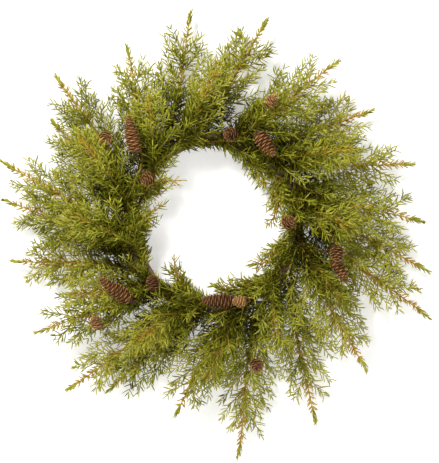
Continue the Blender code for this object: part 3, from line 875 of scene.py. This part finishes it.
def scale_shells(random, cone, scaling):
    """The scales of a cone, in a slow spiral from the foot to the crown. A scale leaves the
    core and runs outwards and up: its distance from the axis is a power of the share along it,
    its height a square, its half-width a ramp that ends in a quarter ellipse, and its section
    a thin lens wrapped round the axis."""
    count = round(cone["length"] / scaling.pitch)
    number = np.arange(count)
    share = 0.02 + 0.90 * ((number + 0.5) / count) ** 0.94
    length, greatest = cone["length"], cone["radius"]
    outer = cone_radius(np.clip(share + 0.06, 0, 1), greatest)
    size = (0.45 + 0.55 * outer / greatest) * random.uniform(0.93, 1.06, count)
    azimuth = GOLDEN * number + random.uniform(-0.07, 0.07, count)
    lift = scaling.flare * greatest * random.uniform(0.5, 1.5, count)
    s = SCALE_STATIONS[None, :, None]
    a = -((np.arange(SCALE_SIDES) + 0.5) * math.tau / SCALE_SIDES)[None, None, :]
    core = SCALE_FOOT * outer[:, None, None]
    rim = outer[:, None, None]

    def shell(s, a, cut):
        """Points at a share along each scale and an angle round its section."""
        ramp = 0.35 + 0.65 * np.clip(s / SCALE_WIDEST, 0, 1)
        past = np.clip(s - SCALE_WIDEST, 0, 1) / (1 - SCALE_WIDEST)
        round_end = np.sqrt(np.clip(1 - past**2, 0, 1))
        half = cut * 0.5 * scaling.width * greatest * size[:, None, None] * ramp * round_end
        thick = SCALE_THICKNESS * (1.5 - 0.8 * s)
        out = core + (rim - core) * s**0.9
        out = out + lift[:, None, None] * s**4 - 0.10 * half * np.cos(a) ** 2 * cut
        out = out + thick * np.sin(a) * cut
        wrap = azimuth[:, None, None] + half * np.cos(a) / np.maximum(out, 0.0022)
        rise = share[:, None, None] * length
        rise = rise + scaling.length * greatest * size[:, None, None] * (0.3 * s + 0.7 * s * s)
        rise = rise - thick * np.sin(a) * 0.5 * cut
        return around_axis(cone, out, wrap, rise)

    rings = shell(s, a, 1.0)
    middle = np.zeros((1, 1, 1))
    feet = shell(middle, middle, 0.0)[:, 0, 0]
    tips = shell(middle + 1, middle, 0.0)[:, 0, 0]
    return rings, feet, tips, share


def around_axis(cone, out, wrap, rise):
    """Points at a distance from the cone's axis, an angle round it and a height up it."""
    right, front = crossed(cone["axis"][None])
    sideways = np.cos(wrap)[..., None] * right[0] + np.sin(wrap)[..., None] * front[0]
    return cone["base"] + out[..., None] * sideways + rise[..., None] * cone["axis"]


def in_cells(maps, first, bodies, total):
    """Moves each body's map, which fills the unit square, into a cell of its own, in a square
    table of cells with room for the total."""
    columns = math.ceil(math.sqrt(total))
    cells = first + np.arange(bodies)
    corner = np.stack([cells % columns, cells // columns], 1)[:, None, None, :]
    inside = maps.reshape(bodies, -1, 3, 2) * 0.92 + 0.04
    return ((corner + inside) / columns).reshape(-1, 3, 2)


def dress_cone(number, cone, scaling, finish):
    """A cone of separate scales round a core coloured dark as painted shade, on its stalk."""
    random = np.random.default_rng(500 + number)
    rings, feet, tips, share = scale_shells(random, cone, scaling)
    bodies = len(rings) + 2
    nought = np.zeros(len(rings))
    points, faces, maps = skinned(rings, feet, tips, SCALE_STATIONS, nought, 1.0)
    skins = [(points, faces, in_cells(maps, 0, len(rings), bodies))]
    shares = np.concatenate([[0.0], np.repeat(SCALE_STATIONS, SCALE_SIDES), [1.0]])
    along = np.tile(shares, len(rings))
    tone = np.repeat(random.random(len(rings)), len(points) // len(rings))
    stations = np.linspace(0.0, 0.94, CORE_POINTS)
    spine = (cone["base"] + np.outer(stations * cone["length"], cone["axis"]))[None]
    wide = (CORE_SHARE * cone_radius(stations, cone["radius"]))[None]
    core = ringed(spine, wide, wide, CORE_SIDES)
    stalk = np.vstack([cone["stalk"][:2], rounded(cone["stalk"][1:], STALK_POINTS)[1:]])[None]
    slim = np.full((1, stalk.shape[1]), STALK_RADIUS)
    rod = ringed(stalk, slim, slim, SHOOT_SIDES)
    # The core takes the foot's colour, as painted shade; the stalk takes a place further up the
    # ramp.
    ends = [(core, spine[:, 0] - 0.001 * cone["axis"], spine[:, -1] + 0.001 * cone["axis"], 0.0),
            (rod, stalk[:, 0], stalk[:, -1], STALK_SHADE)]
    for place_in_map, (skin, foot, tip, shade) in enumerate(ends):
        steps = np.linspace(0.02, 0.98, skin.shape[1])
        points, faces, maps = skinned(skin, foot, tip, steps, np.zeros(1), 1.0)
        skins.append((points, faces, in_cells(maps, len(rings) + place_in_map, 1, bodies)))
        along = np.concatenate([along, np.full(len(points), shade)])
        tone = np.concatenate([tone, np.full(len(points), 0.5)])
    traits = {"along": along, "tone": tone}
    finished_piece(cone["name"], [(skin, finish) for skin in skins], traits)


def rounded(line, count):
    """A line's points respaced evenly, with rounder corners: each is the mean of itself and
    its two neighbours."""
    fine = evened(line, count)
    rounder = fine.copy()
    rounder[1:-1] = (fine[:-2] + fine[1:-1] + fine[2:]) / 3
    return rounder


# --- canes and wire ---
CANE_FINE_STEPS, CANE_SIDES = 440, 30
# Grooves of the bark: how often each wave goes round the cane and round the wreath, and how deep.
BARK_WAVES = ((5, 3, 0.30), (8, -5, 0.26), (11, 14, 0.22), (13, -22, 0.22))
BARK_RELIEF = 0.035
KNOTS, KNOT_SWELL = 9, 0.05
WIRE_FINE_STEPS, WIRE_SIDES = 34, 8


def cane_skin(number):
    """A cane's closed rod. Its radius takes the sum of a few waves that run round it and along
    it, for the fibrous bark, and swells a little at each knot by a high power of a cosine."""
    line, toward = cane_line(number, CANE_FINE_STEPS)
    along = np.radians(np.linspace(0, 360, CANE_FINE_STEPS, endpoint=False))[:, None]
    round_it = (np.arange(CANE_SIDES) * math.tau / CANE_SIDES)[None]
    relief = sum(deep * np.cos(n * round_it + m * along + 2.1 * number * n)
                 for n, m, deep in BARK_WAVES)
    knot = np.cos(KNOTS * along / 2 + number) ** 40
    radii = CANE_RADIUS * (1 - BARK_RELIEF + BARK_RELIEF * relief + KNOT_SWELL * knot)
    return looped(line, radii, toward)


def wire_skin():
    """The binding wire's closed coil, drawn finer than its solid along the same course."""
    line, toward = wire_line(WIRE_FINE_STEPS)
    return looped(line, np.full((len(line), WIRE_SIDES), WIRE_RADIUS), toward)


# --- finishes ---
# The darkest tones are reached mostly through the painted shade on needles deep in the wreath.
NEEDLE_TONES = (
    (0.03, (0.034, 0.032, 0.001)), (0.18, (0.100, 0.098, 0.003)), (0.34, (0.250, 0.260, 0.012)),
    (0.50, (0.470, 0.470, 0.060)), (0.60, (0.520, 0.370, 0.045)), (0.69, (0.560, 0.320, 0.035)),
)
NEEDLE_TINTS = ((0.0, (1.2, 1.0, 0.8)), (0.3, (1.0, 1.0, 0.9)), (0.8, (1.0, 1.0, 1.0)),
                (1.0, (1.2, 1.05, 1.0)))
# Bark tones: the older the wood, the lower its place; young twigs are as green as their needles.
TWIG_TONES = (
    (0.77, (0.190, 0.070, 0.030)), (0.81, (0.480, 0.200, 0.030)), (0.87, (0.500, 0.340, 0.040)),
    (0.92, (0.330, 0.330, 0.035)), (0.98, (0.360, 0.390, 0.055)),
)
TWIG_TINTS = ((0.0, (0.75, 0.70, 0.70)), (0.35, (1.0, 1.0, 1.0)), (0.75, (1.1, 1.15, 1.0)),
              (1.0, (1.0, 1.5, 1.1)))
CANE_COLOURS = (
    (0.15, (0.050, 0.028, 0.016)), (0.45, (0.170, 0.098, 0.054)), (0.65, (0.280, 0.175, 0.100)),
    (0.9, (0.420, 0.300, 0.190)),
)
WIRE_COLOURS = ((0.2, (0.022, 0.060, 0.024)), (0.8, (0.045, 0.105, 0.040)))
# Foot, body and rim of each cone tint, and the cones that take one other than the red-brown.
# The foot is painted shade in the depths between the scales and on the core; the pale rim is
# partly wear and partly a painted highlight.
CONE_TINTS = {
    "red_brown": ((0.012, 0.004, 0.001), (0.175, 0.058, 0.018), (0.720, 0.430, 0.145)),
    "tan": ((0.040, 0.016, 0.005), (0.390, 0.185, 0.055), (0.960, 0.650, 0.270)),
    "dark": ((0.009, 0.003, 0.001), (0.098, 0.031, 0.011), (0.480, 0.260, 0.090)),
}
TAN_CONES = ("small_cone_06", "small_cone_07", "small_cone_10")
DARK_CONES = ("small_cone_03", "small_cone_05", "small_cone_08", "long_cone_03")


def fed(tree, node, inputs):
    """Gives each named input of a node its value, or a link from its socket."""
    for name, value in inputs.items():
        if isinstance(value, bpy.types.NodeSocket):
            tree.links.new(value, node.inputs[name])
        else:
            node.inputs[name].default_value = value
    return node


def added(tree, kind, inputs=None, **settings):
    """A new shader node with its inputs and its settings."""
    node = tree.nodes.new("ShaderNode" + kind)
    for name, value in settings.items():
        setattr(node, name, value)
    return fed(tree, node, inputs or {})


def maths(tree, operation, a, b=0.0, clamped=False):
    """A sum of two sockets or numbers."""
    return added(tree, "Math", {0: a, 1: b}, operation=operation, use_clamp=clamped).outputs[0]


def ramped(tree, factor, stops):
    """A colour ramp through (place, colour) stops."""
    node = added(tree, "ValToRGB", {"Fac": factor})
    elements = node.color_ramp.elements
    while len(elements) < len(stops):
        elements.new(0.5)
    for element, (at, colour) in zip(elements, stops):
        element.position = at
        element.color = (*colour, 1)
    return node.outputs["Color"]


def mixed(tree, a, b, factor=1.0, blend="MULTIPLY"):
    """A colour mix of two sockets."""
    node = added(tree, "Mix", {0: factor, 6: a, 7: b}, data_type="RGBA", blend_type=blend)
    return node.outputs[2]


def shaded(tree, colour, factor, dark, light):
    """A colour multiplied by a shade between two."""
    return mixed(tree, colour, ramped(tree, factor, ((0.0, dark), (1.0, light))))


def group_with(name, inputs, outputs):
    """A node group: its tree, the sockets given to it and those it gives out."""
    tree = bpy.data.node_groups.new(name, "ShaderNodeTree")
    for label, value in inputs.items():
        kind = value if isinstance(value, str) else "Float"
        socket = tree.interface.new_socket(label, in_out="INPUT", socket_type="NodeSocket" + kind)
        if kind == "Float":
            socket.default_value = value
    for label, kind in outputs.items():
        tree.interface.new_socket(label, in_out="OUTPUT", socket_type="NodeSocket" + kind)
    given, out = tree.nodes.new("NodeGroupInput"), tree.nodes.new("NodeGroupOutput")
    return tree, given.outputs, out


def grain_group():
    """Grain that follows a surface's map without a seam: the map's two numbers become two
    circles, and a noise of four dimensions is read where the circles meet. Lengthwise and Across
    are the circles' radii, so a larger one gives a finer grain that way."""
    tree, given, out = group_with(
        "growth_grain", {"Map": "Vector", "Lengthwise": 4.0, "Across": 4.0, "Contrast": 2.0},
        {"Grain": "Float", "Patches": "Float"})
    parts = added(tree, "SeparateXYZ", {0: given["Map"]})
    circles = []
    for number, reach in enumerate(("Lengthwise", "Across")):
        turn = maths(tree, "MULTIPLY", parts.outputs[number], math.tau)
        for operation in ("COSINE", "SINE"):
            circles.append(maths(tree, "MULTIPLY", maths(tree, operation, turn), given[reach]))
    where = added(tree, "CombineXYZ", dict(enumerate(circles[:3]))).outputs[0]
    for label, scale, detail in (("Grain", 1.0, 4.0), ("Patches", 0.23, 2.0)):
        noise = added(tree, "TexNoise", noise_dimensions="4D")
        fed(tree, noise, {"Vector": where, "W": circles[3], "Scale": scale, "Detail": detail})
        about = maths(tree, "SUBTRACT", noise.outputs["Fac"], 0.5)
        spread = maths(tree, "MULTIPLY", about, given["Contrast"])
        fed(tree, out, {label: maths(tree, "ADD", spread, 0.5, clamped=True)})
    return tree


def weathering_group():
    """Uneven fading over a piece: two sizes of cloudy noise in the object's own space lay a
    second colour over the first, and the same mask goes out for the roughness."""
    tree, given, out = group_with(
        "weathering", {"Color": "Color", "Faded": "Color", "Size": 120.0, "Amount": 0.5},
        {"Color": "Color", "Mask": "Float"})
    place_on = added(tree, "TexCoord").outputs["Object"]
    clouds = []
    for share, detail in ((1.0, 3.0), (4.5, 2.0)):
        scale = maths(tree, "MULTIPLY", given["Size"], share)
        noise = added(tree, "TexNoise", {"Vector": place_on, "Scale": scale, "Detail": detail})
        clouds.append(noise.outputs["Fac"])
    both = maths(tree, "MULTIPLY", *clouds)
    sharp = added(tree, "MapRange", {"Value": both, "From Min": 0.16, "From Max": 0.38})
    mask = maths(tree, "MULTIPLY", sharp.outputs["Result"], given["Amount"])
    colour = mixed(tree, given["Color"], given["Faded"], mask, "MIX")
    fed(tree, out, {"Color": colour, "Mask": mask})
    return tree


def finish_with(name, **plain):
    """A new material: its tree and its Principled shader, whose plain inputs are set here by
    name, with _ for a space."""
    material = bpy.data.materials.new(name)
    material.use_nodes = True
    tree = material.node_tree
    inputs = {label.replace("_", " "): value for label, value in plain.items()}
    return material, tree, fed(tree, tree.nodes["Principled BSDF"], inputs)


def grained(tree, group, lengthwise, across, contrast):
    """The grain's outputs, read along the piece's own map, and that map."""
    where = added(tree, "UVMap", uv_map="OFBake").outputs["UV"]
    given = {"Map": where, "Lengthwise": lengthwise, "Across": across, "Contrast": contrast}
    return fed(tree, added(tree, "Group", node_tree=group), given).outputs, where


def weathered(tree, shader, group, colour, faded, size, amount):
    """Gives the shader a colour with a second one laid over it by the weathering."""
    node = added(tree, "Group", node_tree=group)
    fed(tree, node, {"Color": colour, "Faded": (*faded, 1), "Size": size, "Amount": amount})
    fed(tree, shader, {"Base Color": node.outputs["Color"]})
    return node.outputs["Mask"]


def roughened(tree, shader, mask, low, high):
    """Spreads the shader's roughness between two values by a mask."""
    spread = added(tree, "MapRange", {"Value": mask, "To Min": low, "To Max": high})
    fed(tree, shader, {"Roughness": spread.outputs["Result"]})


def bumped(tree, shader, height, strength, distance):
    """Raises the shader's surface by a height."""
    bump = added(tree, "Bump", {"Height": height, "Strength": strength, "Distance": distance})
    fed(tree, shader, {"Normal": bump.outputs["Normal"]})


def limb_finish(name, gloss, grain, streaking, tones, tints, dark, light):
    """A finish of limbs: the body's tone gives the colour, the share along it a tint, and
    streaks run along it between a dark and a light shade."""
    material, tree, shader = finish_with(name, Specular_IOR_Level=gloss)
    streaks, where = grained(tree, grain, *streaking)
    along, tone, _ = added(tree, "SeparateXYZ", {0: where}).outputs
    colour = mixed(tree, ramped(tree, tone, tones), ramped(tree, along, tints))
    colour = shaded(tree, colour, streaks["Grain"], dark, light)
    fed(tree, shader, {"Base Color": colour})
    return material, tree, shader, streaks


def needle_finish(grain):
    """Larch needles: the tone band runs from dark olive, which the painted shade deep in the wreath
    reaches, through leaf green to straw, and each needle is paler at its foot and yellower at its
    tip."""
    material, tree, shader, streaks = limb_finish(
        "larch_needles", 0.10, grain, (0.7, 9.0, 2.2), NEEDLE_TONES, NEEDLE_TINTS,
        (0.80, 0.84, 0.70), (1.14, 1.10, 1.2))
    roughened(tree, shader, streaks["Grain"], 0.42, 0.62)
    return material


def twig_finish(grain):
    """Young larch bark: reddish brown at the foot, golden orange along the limb, green at the
    tip, with fine streaks."""
    material, tree, shader, streaks = limb_finish(
        "larch_bark", 0.3, grain, (3.5, 9.0, 2.6), TWIG_TONES, TWIG_TINTS,
        (0.52, 0.46, 0.40), (1.22, 1.18, 1.1))
    roughened(tree, shader, streaks["Patches"], 0.55, 0.8)
    bumped(tree, shader, streaks["Grain"], 0.5, 0.0004)
    return material


def cone_finish(name, colours, grain, weathering):
    """Cone scales: painted shade dark over each scale's hidden foot, the body's colour over the
    back and a rim pale partly from wear and partly from a painted highlight, with fine ribs along
    each scale and uneven fading over the whole cone."""
    foot, body, rim = colours
    material, tree, shader = finish_with(name, Specular_IOR_Level=0.3)
    ribs, _ = grained(tree, grain, 6.0, 40.0, 2.6)
    along, tone = (added(tree, "Attribute", attribute_name=trait).outputs["Fac"]
                   for trait in ("along", "tone"))
    # Dark foot: painted shade between the scales. Pale rim: partly wear, partly a painted
    # highlight.
    stops = ((0.0, foot), (0.50, foot), (0.74, body), (0.90, body), (0.97, rim))
    colour = ramped(tree, along, stops)
    colour = shaded(tree, colour, tone, (0.72, 0.70, 0.72), (1.18, 1.12, 1.08))
    colour = shaded(tree, colour, ribs["Grain"], (0.66, 0.62, 0.60), (1.16, 1.14, 1.12))
    weathered(tree, shader, weathering, colour, rim, 160.0, 0.16)
    roughened(tree, shader, ribs["Grain"], 0.5, 0.72)
    bumped(tree, shader, ribs["Grain"], 0.45, 0.0005)
    return material


def cane_finish(grain, weathering):
    """Old vine bark: long fibres in browns and greys, dark in the grooves, faded on the backs."""
    material, tree, shader = finish_with("vine_bark", Specular_IOR_Level=0.2)
    fibres, _ = grained(tree, grain, 9.0, 5.0, 2.8)
    colour = ramped(tree, fibres["Grain"], CANE_COLOURS)
    weathered(tree, shader, weathering, colour, (0.30, 0.235, 0.175), 70.0, 0.55)
    roughened(tree, shader, fibres["Patches"], 0.72, 0.92)
    bumped(tree, shader, fibres["Grain"], 0.7, 0.001)
    return material


def wire_finish(grain, weathering):
    """Green enamel on florist's wire, rubbed to dull steel here and there."""
    material, tree, shader = finish_with("florist_wire", Metallic=0.35)
    rubs, _ = grained(tree, grain, 60.0, 1.5, 2.4)
    colour = ramped(tree, rubs["Grain"], WIRE_COLOURS)
    worn = weathered(tree, shader, weathering, colour, (0.22, 0.22, 0.20), 240.0, 0.6)
    roughened(tree, shader, worn, 0.34, 0.55)
    return material


# --- studio ---
DISTANCE = 2.2
LENS, SENSOR = 134.6, 36.0
AIM = (0.0087, CENTRE[2] - 0.0127)
WALL_AT, WALL_HALF, WALL_TOP = 0.0175, 3, 2.6
FLOOR_AT, FLOOR_HALF = -0.62, 6
# Place, size, power and colour of each lamp.
LAMPS = {
    "key": ((-0.95, -1.75, 1.25), 0.6, 60, (1.0, 0.985, 0.955)),
    "fill": ((1.5, -1.8, 0.1), 1.6, 8, (1, 1, 1)),
    "behind": ((0.6, 1.8, 0.9), 1.4, 14, (1, 1, 1)),
}


def in_scene(name, data):
    """A new object of the scene."""
    made = bpy.data.objects.new(name, data)
    bpy.context.scene.collection.objects.link(made)
    return made


def sheet_of(name, corners, material):
    """A flat sheet of the stage."""
    mesh = bpy.data.meshes.new(name)
    mesh.from_pydata(corners, [], [(0, 1, 2, 3)])
    mesh.materials.append(material)
    in_scene(name, mesh)


def backdrop():
    """A plain pale wall and floor. The wall is clear from behind, so that the back shows."""
    wall, tree, shader = finish_with("plain_wall", Base_Color=(0.80, 0.80, 0.80, 1), Roughness=0.9,
                                     Emission_Color=(1, 1, 1, 1), Emission_Strength=0.42)
    behind = added(tree, "NewGeometry").outputs["Backfacing"]
    clear = added(tree, "BsdfTransparent").outputs[0]
    choice = added(tree, "MixShader", {0: behind, 1: shader.outputs[0], 2: clear})
    fed(tree, tree.nodes["Material Output"], {"Surface": choice.outputs[0]})
    floor, _, _ = finish_with("plain_floor", Base_Color=(0.82, 0.82, 0.82, 1), Roughness=0.85)
    x, y, low, high = WALL_HALF, WALL_AT, FLOOR_AT, WALL_TOP
    sheet_of("wall", [(-x, y, low), (x, y, low), (x, y, high), (-x, y, high)], wall)
    x = FLOOR_HALF
    sheet_of("floor", [(-x, -x, low), (x, -x, low), (x, x, low), (-x, x, low)], floor)


def studio():
    """Wall, floor, lamps, daylight and camera."""
    scene = bpy.context.scene
    backdrop()
    for name, (at, size, power, colour) in LAMPS.items():
        lamp = bpy.data.lights.new(name, "AREA")
        lamp.size, lamp.energy, lamp.color = size, power, colour
        made = in_scene(name, lamp)
        made.location = at
        made.rotation_euler = Vector(CENTRE - np.array(at)).to_track_quat("-Z", "Y").to_euler()
    world = bpy.data.worlds.new("soft_daylight")
    scene.world = world
    world.use_nodes = True
    sky = world.node_tree
    fed(sky, sky.nodes["Background"], {"Color": (1, 1, 1, 1), "Strength": 0.20})
    scene.view_settings.view_transform = "Standard"
    lens = bpy.data.cameras.new("camera")
    lens.lens, lens.sensor_width, lens.sensor_fit = LENS, SENSOR, "HORIZONTAL"
    camera = in_scene("camera", lens)
    camera.location = (AIM[0], -DISTANCE, AIM[1])
    camera.rotation_euler = (math.pi / 2, 0, 0)
    scene.camera = camera


# --- the wreath ---
def main():
    """Plans the limbs, makes the finishes, dresses every solid and sets the studio up."""
    sprays, cones = plan_wreath()
    grain, weathering = grain_group(), weathering_group()
    bark, needle = twig_finish(grain), needle_finish(grain)
    cane, wire = cane_finish(grain, weathering), wire_finish(grain, weathering)
    for number in range(CANE_COUNT):
        finished_piece(f"vine_cane_{number + 1}", [(cane_skin(number), cane)])
    finished_piece("binding_wire", [(wire_skin(), wire)])
    for number, spray in enumerate(sprays):
        dress_spray(np.random.default_rng(100 + number), spray, cones, bark, needle)
    finishes = {tint: cone_finish(f"cone_{tint}", colours, grain, weathering)
                for tint, colours in CONE_TINTS.items()}
    for number, cone in enumerate(cones):
        name = cone["name"]
        scaling = LONG_SCALING if name.startswith("long") else SMALL_SCALING
        tint = "tan" if name in TAN_CONES else "dark" if name in DARK_CONES else "red_brown"
        dress_cone(number, cone, scaling, finishes[tint])
    studio()


main()
